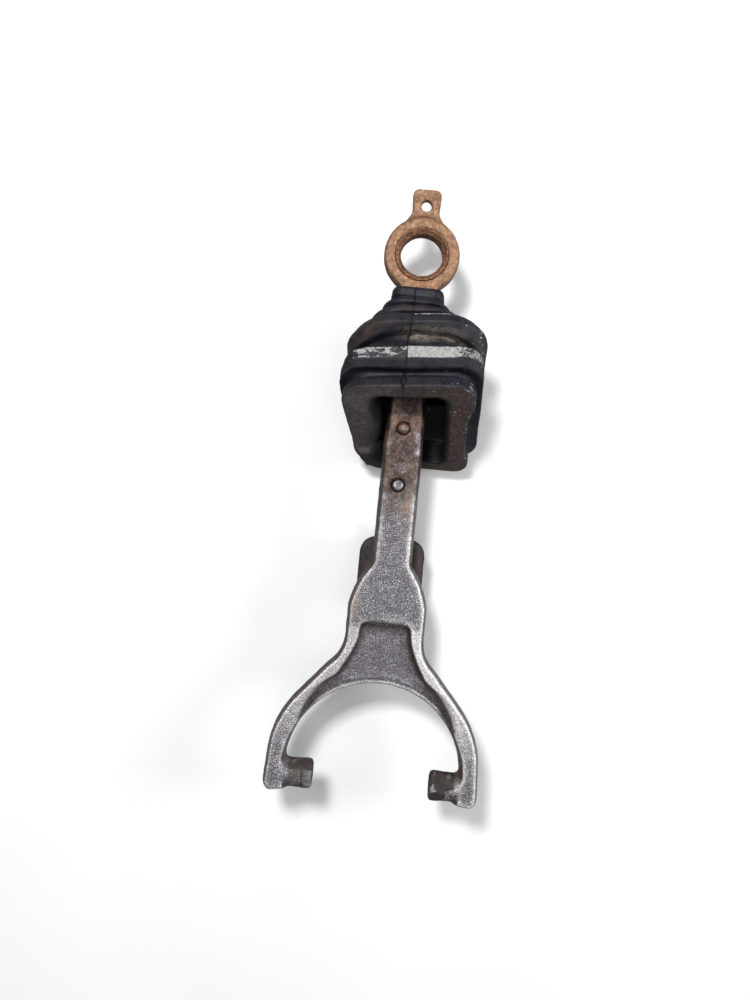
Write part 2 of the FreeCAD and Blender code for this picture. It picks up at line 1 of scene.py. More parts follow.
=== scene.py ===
# %% [markdown]
# # A clutch release fork and its rubber boot
# This lesson dresses a imported CAD model of a forged lever and its dust boot. The CAD model gives every place
# and joint. Here each piece gets a surface worked out with numpy and a material made from nodes. The script
# keeps the CAD box first.

# %% Load the frame
import json
import math

import bmesh
import bpy
import numpy as np
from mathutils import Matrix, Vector


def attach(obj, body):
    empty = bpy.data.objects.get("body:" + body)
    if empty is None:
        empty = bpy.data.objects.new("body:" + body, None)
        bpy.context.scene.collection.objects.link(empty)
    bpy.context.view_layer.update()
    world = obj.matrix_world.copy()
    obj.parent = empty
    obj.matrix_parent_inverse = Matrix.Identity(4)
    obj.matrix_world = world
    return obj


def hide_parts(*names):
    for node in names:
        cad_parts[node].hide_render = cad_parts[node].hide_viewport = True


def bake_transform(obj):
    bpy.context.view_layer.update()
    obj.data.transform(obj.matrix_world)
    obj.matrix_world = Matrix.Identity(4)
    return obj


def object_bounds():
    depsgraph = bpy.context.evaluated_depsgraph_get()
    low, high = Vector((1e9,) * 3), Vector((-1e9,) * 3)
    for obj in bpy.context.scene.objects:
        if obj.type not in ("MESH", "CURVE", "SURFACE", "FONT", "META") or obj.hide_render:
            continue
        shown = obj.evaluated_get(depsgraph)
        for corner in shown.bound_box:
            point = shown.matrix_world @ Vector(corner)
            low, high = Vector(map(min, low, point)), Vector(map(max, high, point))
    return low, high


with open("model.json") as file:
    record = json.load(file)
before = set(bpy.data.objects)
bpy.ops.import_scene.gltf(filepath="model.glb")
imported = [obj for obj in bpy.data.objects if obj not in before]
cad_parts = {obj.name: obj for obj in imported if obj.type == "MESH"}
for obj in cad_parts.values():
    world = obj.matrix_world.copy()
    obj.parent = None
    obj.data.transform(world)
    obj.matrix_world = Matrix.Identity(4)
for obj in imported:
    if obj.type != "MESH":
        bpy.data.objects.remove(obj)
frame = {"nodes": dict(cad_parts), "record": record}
cad_box = [list(corner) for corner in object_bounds()]
mount_at = {mount["name"]: np.array(mount["pos_m"]) for mount in frame["record"]["mounts"]}
eye = mount_at["eye_bore"]
arm_middle = eye[2]
MM = 0.001
random_seed = 11
print("eye at", eye, "box", cad_box)

# %% [markdown]
# ## Camera, floor and light
# The fork lies on its back just above a pale floor and is seen from straight above, from about arm's
# length. The camera is turned a few degrees about its own axis, so that the arm leans in the frame. A 36 mm
# lens on the default 36 mm sensor gives the mild spread of a phone's camera. One could also aim the camera
# with a constraint, but a plain place and angle is easier to read.

# %% The camera
camera_height = 0.550
camera_side = -0.0125
camera_along = 0.0385
arm_lean = math.radians(5.6)

camera = bpy.data.objects.new("camera", bpy.data.cameras.new("camera"))
camera.data.lens = 36
camera.location = (camera_side, camera_along, arm_middle + camera_height)
camera.rotation_euler = (0, 0, arm_lean)
bpy.context.scene.collection.objects.link(camera)
bpy.context.scene.camera = camera
print("camera at", tuple(camera.location))

# %% Floor and lights
flex_room = 7 * MM
floor_level = cad_box[0][2] - flex_room
floor_half = 3.0


def make_floor():
    """A square sheet under the object, low enough for the boot's plate to rock down without touching
    it."""
    signs = ((-1, -1), (1, -1), (1, 1), (-1, 1))
    mesh = bpy.data.meshes.new("floor")
    mesh.from_pydata([(x * floor_half, y * floor_half, floor_level) for x, y in signs], [], [(0, 1, 2, 3)])
    floor = bpy.data.objects.new("floor", mesh)
    bpy.context.scene.collection.objects.link(floor)
    return floor


def make_area_light(name, place, target, width, power):
    """A square soft light at a place, turned to face a target."""
    light = bpy.data.objects.new(name, bpy.data.lights.new(name, "AREA"))
    light.data.size = width
    light.data.energy = power
    light.location = place
    aim = Vector(target) - Vector(place)
    light.rotation_euler = aim.to_track_quat("-Z", "Y").to_euler()
    bpy.context.scene.collection.objects.link(light)


floor = make_floor()
middle = (0, 0.04, arm_middle)
make_area_light("key_light", (-0.30, 0.50, 1.10), middle, 0.22, 14)
make_area_light("side_light", (0.95, 0.15, 0.55), middle, 0.4, 7)
make_area_light("top_light", (0.0, -0.1, 1.6), middle, 1.2, 6)
world = bpy.data.worlds.new("studio")
bpy.context.scene.world = world
world.use_nodes = True
surround = world.node_tree.nodes["Background"].inputs
surround["Color"].default_value = (1, 1, 1, 1)
surround["Strength"].default_value = 0.18
bpy.context.scene.view_settings.view_transform = "Standard"
print("floor at", floor_level)

# %% [markdown]
# ## Tools for surfaces
# Two kinds of surface are used. The boot is a grid: rings of points carried along a path. The lever is a
# skin taken from the CAD solid, remeshed evenly, softened and roughened. Both need smooth random relief.
# Blender's own noise works on one point at a time, so a value noise is written here for whole arrays.

# %% Noise, steps and mesh makers
axis_factors = (73856093, 19349663, 83492791)
seed_factor = 2654435761
mixing_factor = 1274126177


def lattice_value(cell, seed):
    """A fixed pseudo-random number from -1 to 1 for each whole-number cell: its three coordinates are
    mixed by large odd factors and the low bits are kept."""
    mixed = cell[:, 0] * axis_factors[0] ^ cell[:, 1] * axis_factors[1] ^ cell[:, 2] * axis_factors[2]
    mixed = mixed ^ (seed * seed_factor & 0xFFFFFFF)
    mixed = (mixed ^ (mixed >> 13)) * mixing_factor & 0x7FFFFFFF
    return ((mixed ^ (mixed >> 11)) & 0xFFFF) / 32767.5 - 1


def value_noise(points, grain, seed):
    """Smooth noise from -1 to 1: the eight lattice values around each point, blended by the cubic 3t^2 -
    2t^3 along each axis. The grain is the lattice's step, in metres."""
    scaled = points / grain + 1000
    cell = np.floor(scaled).astype(np.int64)
    part = scaled - cell
    part = part * part * (3 - 2 * part)
    total = np.zeros(len(points))
    for corner in range(8):
        offset = np.array([corner & 1, corner >> 1 & 1, corner >> 2 & 1])
        weight = np.prod(np.where(offset, part, 1 - part), axis=1)
        total += weight * lattice_value(cell + offset, seed)
    return total


def layered_noise(points, grain, seed, layers=3):
    """Layers of value noise, each half as coarse and half as strong as the one before."""
    return sum(value_noise(points, grain / 2**layer, seed + layer) / 2**layer for layer in range(layers))


def step_up(value, start, end):
    """A smooth step: 0 below start, 1 above end, and 3t^2 - 2t^3 between."""
    t = np.clip((value - start) / (end - start), 0, 1)
    return t * t * (3 - 2 * t)


def within(value, rise, fall):
    """1 between two smooth steps: up over the first pair of values and down over the second."""
    return step_up(value, *rise) * (1 - step_up(value, *fall))


def near(value, centre, spread):
    """A bell: 1 at the centre, falling to 0 on both sides."""
    return np.exp(-(((value - centre) / spread) ** 2))


def make_piece(name, points, faces):
    """A mesh object at the origin from arrays of points in metres and faces, smooth shaded."""
    mesh = bpy.data.meshes.new(name)
    mesh.from_pydata(points, [], faces)
    mesh.polygons.foreach_set("use_smooth", np.ones(len(mesh.polygons), bool))
    piece = bpy.data.objects.new(name, mesh)
    bpy.context.scene.collection.objects.link(piece)
    return piece


def add_mask(piece, name, values):
    """One number from 0 to 1 for each point, which a material reads by its name."""
    mask = piece.data.attributes.new(name, "FLOAT", "POINT")
    mask.data.foreach_set("value", np.clip(values, 0, 1).astype(np.float32))


def signed_volume(points, quads):
    """Six times the volume inside a closed mesh of quads: it is negative where the faces point
    inwards."""
    a, b, c, d = (points[quads[:, k]] for k in range(4))
    return float(np.einsum("ij,ij->", a, np.cross(b, c)) + np.einsum("ij,ij->", a, np.cross(c, d)))


print("noise at three points", value_noise(np.eye(3), 1.0, random_seed).round(3))

# %% [markdown]
# ## The lever's skin
# The lever is a drop forging. A forging has no sharp corners: its sides lean by a few degrees, so that it
# leaves the die, its edges are round, and its face is rough from scale. One could bevel each edge by hand,
# but the edges meet in many odd corners. So the CAD solid is copied, remeshed into small even faces,
# smoothed to round the edges, leant in towards the front and back, and then roughened with noise.

# %% Copy, remesh and read the skin
skin_face = 0.76 * MM


def remeshed_copy(node, face_size):
    """The points and quads of an evenly remeshed copy of a CAD node. Its loose triangles are joined
    first."""
    mesh = frame["nodes"][node].data.copy()
    joined = bmesh.new()
    joined.from_mesh(mesh)
    bmesh.ops.remove_doubles(joined, verts=joined.verts, dist=1e-6)
    joined.to_mesh(mesh)
    joined.free()
    rough = bpy.data.objects.new("rough", mesh)
    bpy.context.scene.collection.objects.link(rough)
    remesh = rough.modifiers.new("even", "REMESH")
    remesh.mode = "VOXEL"
    remesh.voxel_size = face_size
    even = bpy.data.meshes.new_from_object(rough.evaluated_get(bpy.context.evaluated_depsgraph_get()))
    points = np.empty(len(even.vertices) * 3)
    even.vertices.foreach_get("co", points)
    corners = np.empty(len(even.loops), np.int64)
    even.loops.foreach_get("vertex_index", corners)
    bpy.data.objects.remove(rough)
    bpy.data.meshes.remove(even)
    return points.reshape(-1, 3), corners.reshape(-1, 4)


def neighbour_mean(values, edges, count):
    """The mean of each point's neighbours."""
    ends = np.concatenate([edges, edges[:, ::-1]])
    degree = np.bincount(ends[:, 0], minlength=count)
    sums = [np.bincount(ends[:, 0], values[ends[:, 1], k], count) for k in range(values.shape[1])]
    return np.stack(sums, 1) / np.maximum(degree, 1)[:, None]


def smoothed(values, edges, rounds, strength=0.5):
    """Moves each value part of the way to its neighbours' mean, several times over."""
    for _ in range(rounds):
        values = values + strength * (neighbour_mean(values, edges, len(values)) - values)
    return values


def point_normals(points, quads):
    """Unit normals: each quad's diagonals give its normal, which is added to its four points."""
    across = np.cross(points[quads[:, 2]] - points[quads[:, 0]], points[quads[:, 3]] - points[quads[:, 1]])
    total = np.zeros_like(points)
    for k in range(4):
        for axis in range(3):
            total[:, axis] += np.bincount(quads[:, k], across[:, axis], len(points))
    return total / np.maximum(np.linalg.norm(total, axis=1), 1e-12)[:, None]


skin_points, skin_quads = remeshed_copy("release_lever", skin_face)
quad_sides = np.concatenate([skin_quads[:, [k, (k + 1) % 4]] for k in range(4)])
skin_edges = np.unique(np.sort(quad_sides, axis=1), axis=0)
print("skin", len(skin_points), "points", len(skin_quads), "quads")

# %% Round, lean and roughen the skin
edge_rounds = 7
side_lean = 1.9 * MM
half_arm = 7.75 * MM
scale_relief = 0.16 * MM
eye_reach = 17 * MM
web_top = -29 * MM
pad_line = mount_at["pad_left"][1]
arch_radius = 48 * MM
arch_above_pads = 4.9 * MM
fully_bright = 0.44 * MM
fully_dark = 0.35 * MM


def lean_share(points):
    """How much the sides lean: not at all on the eye's ring, the boss and the pads, and fully
    elsewhere."""
    off_eye = step_up(eye[1] - eye_reach - points[:, 1], 0, 12 * MM)
    off_boss = step_up(points[:, 2], 13 * MM, 17 * MM)
    off_pads = step_up(np.abs(points[:, 0]), 44 * MM, 47 * MM) + step_up(points[:, 1], -104 * MM, -100 * MM)
    return off_eye * off_boss * np.clip(off_pads, 0, 1)


def soft_share(points):
    """Where the skin is smoothed further: the recess's top, the feet of the ridges and the roots of the
    pads."""
    side = np.abs(points[:, 0])
    web_ramp = near(points[:, 1], web_top, 5 * MM) * (1 - step_up(side, 9 * MM, 14 * MM))
    wall = np.hypot(points[:, 0], points[:, 1] - pad_line - arch_above_pads) - arch_radius
    ridge_foot = within(wall, (1 * MM, 2.5 * MM), (7 * MM, 9.5 * MM))
    ridge_foot = ridge_foot * within(-points[:, 1], (38 * MM, 46 * MM), (92 * MM, 98 * MM))
    pad_root = near(side, 46.5 * MM, 3 * MM) * near(points[:, 1], pad_line + 8 * MM, 3 * MM)
    return np.maximum(np.maximum(web_ramp, ridge_foot), pad_root)


def shape_skin(points, quads, edges):
    """The finished skin and how far each point stands out. Lean: a point moves against the level part of
    its smoothed normal by side_lean times the square of its height above the parting line, over half the
    arm. Relief: a coarse and a fine layered noise move it along its normal."""
    points = smoothed(points, edges, edge_rounds)
    wide = smoothed(point_normals(points, quads), edges, 10)
    height = np.clip(np.abs(points[:, 2] - arm_middle) / half_arm, 0, 1)
    lean = side_lean * height**2 * lean_share(points)
    points = smoothed(points - wide * np.array([1, 1, 0]) * lean[:, None], edges, 2)
    points = points + (smoothed(points, edges, 40) - points) * soft_share(points)[:, None]
    normals = point_normals(points, quads)
    proud = np.einsum("ij,ij->i", points - smoothed(points, edges, 14), normals)
    relief = layered_noise(points, 5.0 * MM, random_seed) * 0.7
    relief += layered_noise(points, 1.9 * MM, random_seed + 5, 2) * 0.45
    return points + normals * (relief * scale_relief)[:, None], proud


skin_points, skin_proud = shape_skin(skin_points, skin_quads, skin_edges)
lever_skin = make_piece("lever_skin", skin_points, skin_quads)
# The edge mask: edges that stand out are worn bright, and the mask is raised on the right of the lever as a
# painted highlight, as if lit from that side.
highlight_on_right = 1 + 0.9 * step_up(skin_points[:, 0], -2 * MM, 4 * MM)
add_mask(lever_skin, "worn_and_highlit_edge", skin_proud / fully_bright * highlight_on_right)
# Painted shade: points that lie below the smoothed skin get the hollow mask, which darkens them.
add_mask(lever_skin, "hollow", -skin_proud / fully_dark)
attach(lever_skin, "lever")
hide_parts("release_lever")
print("stands out by", skin_proud.min(), skin_proud.max())

# %% Masks that the lever's material reads
# Places are in millimetres: across the arm, and along it from the pivot or from the named feature.
rivets_below_eye = (95.4, 126.4)
rivet_side = -0.9
tan_patches = ((4.5, 35, 3.6, 9), (-5.5, 89, 2.6, 7), (-17.5, -20, 3.0, 8))
pad_radius = 8.25
pad_step = 37.6


def flank_shade_mask(x, normals, slope, in_web, right):
    """Painted shade on the faces that turn away from the front, as if lit from the right. Those that face the
    arch or the recess on the right are the darkest."""
    turned_in = step_up(-normals[:, 0] * np.sign(x), 0.0, 0.2)
    inner = slope * turned_in * in_web * (0.25 + 0.75 * right)
    steep = 0.35 + 0.65 * step_up(np.abs(normals[:, 0]), 0.08, 0.3)
    outer = slope * (1 - turned_in) * (0.85 - 0.35 * right) * steep
    return np.maximum(inner, outer)


def pad_dirt_and_shade_mask(x, y, z, blotch):
    """Black dirt on the two pads, with painted shade that makes the upper half of each darker than the lower
    half, and a painted shade line at the step near each cap."""
    pad = (1 - step_up(np.abs(x), 44.5, 46.5)) * step_up(-y, 96, 98)
    height = (y - pad_line / MM) / pad_radius
    left_dirt_and_shade = 0.62 + 0.38 * step_up(height, 0.30, 0.55)
    right_dirt_and_shade = 0.84 + 0.16 * step_up(height, -0.1, 0.15)
    pad_dirt_and_shade = pad * np.where(x < 0, left_dirt_and_shade, right_dirt_and_shade) * (1 - 0.5 * step_up(blotch, 0.25, 0.5))
    return np.maximum(pad_dirt_and_shade, pad * near(np.abs(x), pad_step, 0.6))


def lever_masks(points, quads, edges):
    """Where the steel is stained, worn or dirty, and where it is brightened by painted highlights or darkened by
    painted shade. Ridges are the front faces beside the web.
    """
    x, y, z = points.T / MM
    normals = smoothed(point_normals(points, quads), edges, 1)
    blotch = layered_noise(points, 3.5 * MM, random_seed + 70, 3)
    right = step_up(x, -1, 1)
    front = step_up(z, 22, 24)
    in_web = step_up(-y, 28, 33)
    below_eye = 1 - step_up(y, 118, 130)
    slope = step_up(1 - normals[:, 2], 0.14, 0.50) * front * below_eye
    web = (1 - step_up(z, 28, 30)) * front * in_web * step_up(normals[:, 2], 0.5, 0.9)
    web_edge_shade = web * step_up(np.abs(x), 31, 36)
    # Painted shade: the boss below the arm is blackened.
    boss_shade = (1 - step_up(z, 17.5, 20)) * (1 - step_up(np.abs(y), 22, 26))
    faces_right = step_up(normals[:, 0], -0.2, 0.4)
    patches = sum(near(x, across, wide) * near(y, along, long) for across, along, wide, long in tan_patches)
    rivets = [(rivet_side, eye[1] / MM - below) for below in rivets_below_eye]
    halo = sum(near(np.hypot(x - across, y - along), 4.9, 1.3) for across, along in rivets)
    return {
        # Painted shade on the flanks, and along the web's edges beside the ridges.
        "flank_shade": np.maximum(flank_shade_mask(x, normals, slope, in_web, right), 0.8 * web_edge_shade),
        # Painted shade on the eye's inner walls and rims, with less on faces that turn to the right.
        "eye_rim_shade": step_up(1 - normals[:, 2], 0.08, 0.55) * (1 - below_eye) * (0.62 - 0.45 * faces_right),
        # Painted highlight on the ridge tops, stronger on the right and fading towards the pads.
        "ridge": step_up(z, 29.6, 30.8) * in_web * (0.62 + 0.38 * right) * (1 - 0.95 * step_up(-y, 72, 104)),
        "web_floor": web,
        "black_dirt_and_shade_steel": np.maximum(boss_shade, pad_dirt_and_shade_mask(x, y, z, blotch)),
        "tan_patch": patches * front * np.clip(0.8 + blotch, 0, 1),
        "grease": halo * front,
    }


for mask_name, mask_values in lever_masks(skin_points, skin_quads, skin_edges).items():
    add_mask(lever_skin, mask_name, mask_values)
    print(mask_name, round(float(mask_values.mean()), 3))

# %% [markdown]
# ## The boot
# The boot is one hollow rubber moulding: a neck that grips the arm, two small folds, two large folds, a
# groove for the housing's edge and a thick mouth plate. Its wall is folded back on itself at the mouth, so
# the whole surface is a tube bent into a closed loop: out along the outside, round the mouth and back up
# the inside. A lathe can't make it, because the rings are rounded rectangles that lean. So rings are worked
# out along a path, and the path's corners are rounded by a moving average.

# %% The path of rings
# Each ring: front (along, out), back (along, out), half width, corner. Along is from the eye's centre, out is
# from the arm's middle, both in millimetres.
ring_path = [
    ("neck_inside", (-19.6, 8.4), (-21.8, -8.4), 10.6, 2.0),
    ("neck_top", (-18.9, 10.6), (-21.2, -10.6), 12.6, 4.0),
    ("neck_rim", (-20.4, 12.6), (-23.0, -12.6), 14.0, 6.0),
    ("neck_bead", (-24.0, 13.0), (-29.5, -13.5), 14.6, 7.5),
    ("valley_one", (-25.2, 12.0), (-34.0, -13.3), 14.4, 8.0),
    ("small_fold_one", (-26.4, 16.2), (-38.0, -17.2), 18.2, 12.0),
    ("small_fold_one_lip", (-28.2, 16.8), (-40.5, -17.5), 19.0, 13.0),
    ("valley_two", (-29.8, 14.6), (-44.0, -15.2), 18.4, 12.5),
    ("small_fold_two", (-31.0, 20.0), (-49.0, -20.6), 23.8, 16.0),
    ("small_fold_two_lip", (-33.4, 20.9), (-52.0, -21.0), 25.0, 17.0),
    ("valley_three", (-34.8, 18.3), (-56.0, -18.4), 25.0, 16.0),
    ("large_fold_top", (-36.0, 27.0), (-61.5, -26.0), 34.2, 23.0),
    ("large_fold_crest", (-41.0, 30.4), (-69.0, -28.0), 38.0, 23.0),
    ("large_fold_under", (-46.0, 28.0), (-75.0, -26.5), 37.2, 22.0),
    ("valley_four", (-48.0, 22.5), (-79.0, -20.0), 31.0, 16.0),
    ("skirt_top", (-54.6, 31.0), (-93.0, -27.5), 38.0, 13.0),
    ("skirt_edge", (-60.4, 32.0), (-99.0, -28.2), 39.2, 13.0),
    ("skirt_low", (-65.5, 30.6), (-106.0, -28.2), 39.2, 13.0),
    ("groove_upper", (-66.6, 25.6), (-106.6, -24.4), 34.8, 11.0),
    ("groove_lower", (-69.2, 25.4), (-109.4, -24.4), 32.6, 11.0),
    ("plate_back", (-70.0, 30.4), (-110.2, -28.2), 36.4, 13.0),
    ("plate_front", (-75.4, 34.0), (-115.6, -24.6), 36.4, 13.0),
    ("mouth_edge", (-80.8, 26.1), (-111.4, -18.4), 19.0, 6.0),
    ("mouth_inside", (-71.9, 19.6), (-101.0, -23.6), 19.6, 6.0),
    ("inside_skirt", (-60.5, 28.0), (-97.5, -25.2), 36.0, 12.0),
    ("inside_valley", (-51.4, 18.0), (-79.0, -16.8), 27.6, 13.0),
    ("inside_large_fold", (-42.5, 27.0), (-70.0, -25.0), 34.6, 20.0),
    ("inside_valley_three", (-37.4, 16.4), (-57.0, -16.2), 23.0, 14.0),
    ("inside_small_fold", (-33.4, 17.4), (-50.0, -18.0), 21.2, 13.0),
    ("inside_valley_two", (-31.0, 12.6), (-44.0, -13.0), 16.0, 8.0),
    ("inside_neck", (-27.5, 9.4), (-34.0, -9.4), 11.6, 3.0),
]
path_step = 0.63
path_rounding = 0.55


def dense_path(rings, step, rounding):
    """The ring values sampled evenly along the closed path, and each named ring's place in it. The
    corners are rounded by a Gaussian average that wraps round the loop."""
    table = np.array([(*front, *back, half, corner) for _, front, back, half, corner in rings])
    closed = np.vstack([table, table[:1]])
    front_run = np.linalg.norm(np.diff(closed[:, 0:2], axis=0), axis=1)
    back_run = np.linalg.norm(np.diff(closed[:, 2:4], axis=0), axis=1)
    reach = np.concatenate([[0], np.cumsum((front_run + back_run) / 2)])
    places = np.arange(0, reach[-1], step)
    dense = np.stack([np.interp(places, reach, closed[:, k]) for k in range(closed.shape[1])], 1)
    lag = np.arange(-6, 7) * step
    weights = np.exp(-((lag / rounding) ** 2) / 2)
    weights /= weights.sum()
    rounded = sum(weight * np.roll(dense, shift, axis=0) for weight, shift in zip(weights, range(-6, 7)))
    named = {ring[0]: place for ring, place in zip(rings, reach)}
    return rounded, places, named


ring_values, ring_places, ring_at = dense_path(ring_path, path_step, path_rounding)
print(len(ring_places), "rings over", round(ring_places[-1]), "mm")

# %% The boot's surface
seam_half = 0.022
seam_samples = 54
round_samples = 226
boot_twist = math.radians(6)
front_turn = math.radians(5.5)
boot_aside = 1.2


def around_positions():
    """Places around a ring, from 0 to 1, starting at the middle of the front. They are close together at
    the seam, which runs down the middle of the front."""
    fine = np.linspace(-seam_half, seam_half, seam_samples, endpoint=False)
    coarse = np.linspace(seam_half, 1 - seam_half, round_samples, endpoint=False)
    return np.concatenate([fine, coarse]) % 1


def rounded_rectangle(around, half_width, half_height, corner):
    """Points on rounded rectangles. Each quarter is half of the front or back side, then an arc, then
    half of a side. Quarters are mirrored into each other."""
    quarter = np.floor(around * 4).astype(int) % 4
    part = around * 4 - np.floor(around * 4)
    part = np.where(quarter % 2 == 1, 1 - part, part)
    sign_x = np.where(quarter < 2, 1, -1)
    sign_y = np.where((quarter == 0) | (quarter == 3), 1, -1)
    first, last = 0.36, 0.64
    along_top = np.clip(part / first, 0, 1)
    turn = np.clip((part - first) / (last - first), 0, 1) * math.pi / 2
    along_side = np.clip((part - last) / (1 - last), 0, 1)
    straight_x = half_width - corner
    straight_y = half_height - corner
    x = straight_x * along_top + corner * np.sin(turn)
    y = straight_y * (1 - along_side) + corner * np.cos(turn)
    return sign_x * x, sign_y * y


def plate_outline(across, share, place):
    """How far each point moves sideways, in millimetres, where the plate and its mouth are out of square.
    The share runs from 1 at a ring's front to -1 at its back. The left side comes in towards the back,
    the right side has a waist, and the mouth's left edge swells towards the arm."""
    left = step_up(-across, 4, 26)
    right = step_up(across, 4, 26)
    fold_top, mouth_edge = ring_at["large_fold_top"], ring_at["mouth_edge"]
    mouth_inside = ring_at["mouth_inside"]
    plate_back, plate_front = ring_at["plate_back"], ring_at["plate_front"]
    folds = within(place, (fold_top - 6, fold_top), (ring_at["groove_lower"], plate_back))
    plate = within(place, (ring_at["groove_upper"] - 2, plate_back), (plate_front + 1, mouth_edge - 3))
    mouth = within(place, (mouth_edge - 3, mouth_edge - 0.5), (mouth_inside, mouth_inside + 5))
    skirt = step_up(place, ring_at["valley_four"], ring_at["skirt_top"])
    fold = near(place, ring_at["large_fold_crest"], 7.0)
    lip = near(place, mouth_edge, 3.2)
    back = np.clip((1 - share) / 2, 0, 1)
    moved = folds * left * (2.0 + 5.0 * skirt * back**1.3) + fold * right * 1.4
    moved = moved + plate * left * (1.4 + 7.2 * back**1.3)
    waist = within(back, (0.24, 0.40), (0.74, 0.94))
    moved = moved + plate * right * (1.6 * step_up(back, 0.88, 1) - 3.2 * waist)
    moved = moved + mouth * step_up(-across, 2, 12) * (1.6 + 4.2 * near(back, 0.50, 0.26))
    return moved + right * (mouth * 0.8 + lip * 2.2)


def boot_grid():
    """Points of the boot as an array (ring, around, 3), in metres. A ring's centre is midway between its
    front and back, and its height is the line between them. Each ring is sheared sideways by the twist of
    the boot on the arm, which grows from nothing at the neck, and its front is turned level. The large
    fold's front hangs lower at its sides, by the square of the distance from the middle."""
    around = around_positions()[None, :]
    place = ring_places[:, None]
    front_along, front_out, back_along, back_out, half_width, corner = np.split(ring_values, 6, axis=1)
    rise_along = (front_along - back_along) / 2
    rise_out = (front_out - back_out) / 2
    half_height = np.hypot(rise_along, rise_out)
    corner = np.minimum(corner, 0.92 * np.minimum(half_width, half_height))
    across, up = rounded_rectangle(around, half_width, half_height, corner)
    share = up / half_height
    along = (front_along + back_along) / 2 + up * rise_along / half_height
    out = (front_out + back_out) / 2 + up * rise_out / half_height
    across = across + plate_outline(across, share, place)
    twist = math.tan(boot_twist) * step_up(-along, 22, 75)
    level = math.tan(front_turn) * step_up(-front_along, 25, 36) * step_up(share, -0.5, 0.7)
    aside = boot_aside * step_up(-front_along, 26, 36)
    fold_front = (ring_at["large_fold_crest"] - 2, ring_at["large_fold_under"])
    sagging = within(place, fold_front, (ring_at["valley_four"], ring_at["skirt_top"]))
    sagging = sagging * step_up(share, 0, 0.8)
    along = along + sagging * (1.4 - 5.5 * np.minimum(np.abs(across) / 32, 1) ** 2)
    points = np.stack([across - twist * out + aside, along + level * across, out], axis=2) * MM
    return points + eye


boot_points = boot_grid()
print("boot grid", boot_points.shape)

# %% Relief of the boot
# The plate's lower left end lies deeper, like a leaf: below a line across the plate that is level up to a place
# on the left of the arm and then rises. Lengths are in millimetres.
leaf_line = -11.5
leaf_level_to = -17.5
leaf_rise = 1.3
leaf_depth = 3.4


def grid_normals(grid):
    """Unit normals of a grid that closes both ways: the cross product of its two central differences."""
    along = np.roll(grid, -1, axis=0) - np.roll(grid, 1, axis=0)
    around = np.roll(grid, -1, axis=1) - np.roll(grid, 1, axis=1)
    normal = np.cross(around, along)
    return normal / np.maximum(np.linalg.norm(normal, axis=2, keepdims=True), 1e-12)


def leaf_share(local):
    """Where the plate's lower left end lies deeper."""
    line = leaf_line + leaf_rise * np.maximum(0, local[:, 0] - leaf_level_to)
    return step_up(line - local[:, 2], 0, 1.4) * step_up(-local[:, 0], 6, 8)


def seam_crack(place, around, across):
    """The split seam down the front: how much of its depth each point has, and that depth in millimetres.
    It wanders about the middle, and it opens wider in the valley under the large fold and through the
    plate."""
    wander = value_noise(np.stack([place * 0, place, place * 0 + 3], 1), 7.0, random_seed + 40)
    wander += 0.5 * value_noise(np.stack([place * 0, place, place * 0 + 9], 1), 2.3, random_seed + 41)
    distance = np.abs(across + 1.5 + 2.3 * step_up(place, 8, ring_at["plate_front"]) - 0.4 * wander)
    open_fold = near(place, ring_at["valley_four"], 6.0)
    open_plate = near(place, (ring_at["plate_back"] + ring_at["plate_front"]) / 2, 3.6)
    half_width = 0.28 + 0.75 * open_fold + 1.0 * open_plate
    crack = np.exp(-((distance / half_width) ** 4)) * (np.abs(around) < 0.1)
    return crack, 0.6 + 1.6 * open_fold + 2.0 * open_plate


def boot_relief(grid):
    """The boot's finished points, each one's place along the path, and where it is cracked, outside or
    sunken. Slow noise makes the rubber sag and finer noise roughens it. Then the crack and the leaf are
    cut in."""
    count_rings, count_around = grid.shape[:2]
    flat = grid.reshape(-1, 3)
    normals = grid_normals(grid).reshape(-1, 3)
    local = (flat - eye) / MM
    place = np.repeat(ring_places, count_around)
    around = np.tile((around_positions() + 0.5) % 1 - 0.5, count_rings)
    plate_front, mouth_edge = ring_at["plate_front"], ring_at["mouth_edge"]
    outside = within(place, (0, 3), (mouth_edge - 2, mouth_edge))
    face = within(place, (plate_front + 0.5, plate_front + 2), (mouth_edge + 1, mouth_edge + 4))
    slow = layered_noise(flat, 26 * MM, random_seed + 20, 2)
    fine = layered_noise(flat, 2.4 * MM, random_seed + 30, 3)
    free = step_up(-local[:, 1], 24, 40)
    sunken = face * leaf_share(local)
    crack, crack_depth = seam_crack(place, around, local[:, 0])
    crack = crack * outside
    shift = 0.8 * slow * free + 0.08 * fine - leaf_depth * sunken - crack_depth * crack
    return flat + normals * (shift * MM)[:, None], place, crack, outside, sunken


def grid_quads(rings, around):
    """Quads of a grid that closes both ways."""
    index = np.arange(rings * around).reshape(rings, around)
    ahead = np.roll(index, -1, axis=0)
    corners = [index, np.roll(index, -1, axis=1), np.roll(ahead, -1, axis=1), ahead]
    return np.stack(corners, axis=2).reshape(-1, 4)


boot_flat, boot_place, boot_crack, boot_outside, boot_sunken = boot_relief(boot_points)
boot_quads = grid_quads(*boot_points.shape[:2])
if signed_volume(boot_flat, boot_quads) < 0:
    boot_quads = boot_quads[:, ::-1]
boot_skin = make_piece("boot_skin", boot_flat, boot_quads)
rubber_cm3 = signed_volume(boot_flat, boot_quads) / 6 * 1e6
print("boot", len(boot_flat), "points", round(rubber_cm3, 1), "cubic cm of rubber")

# %% Masks that the boot's material reads


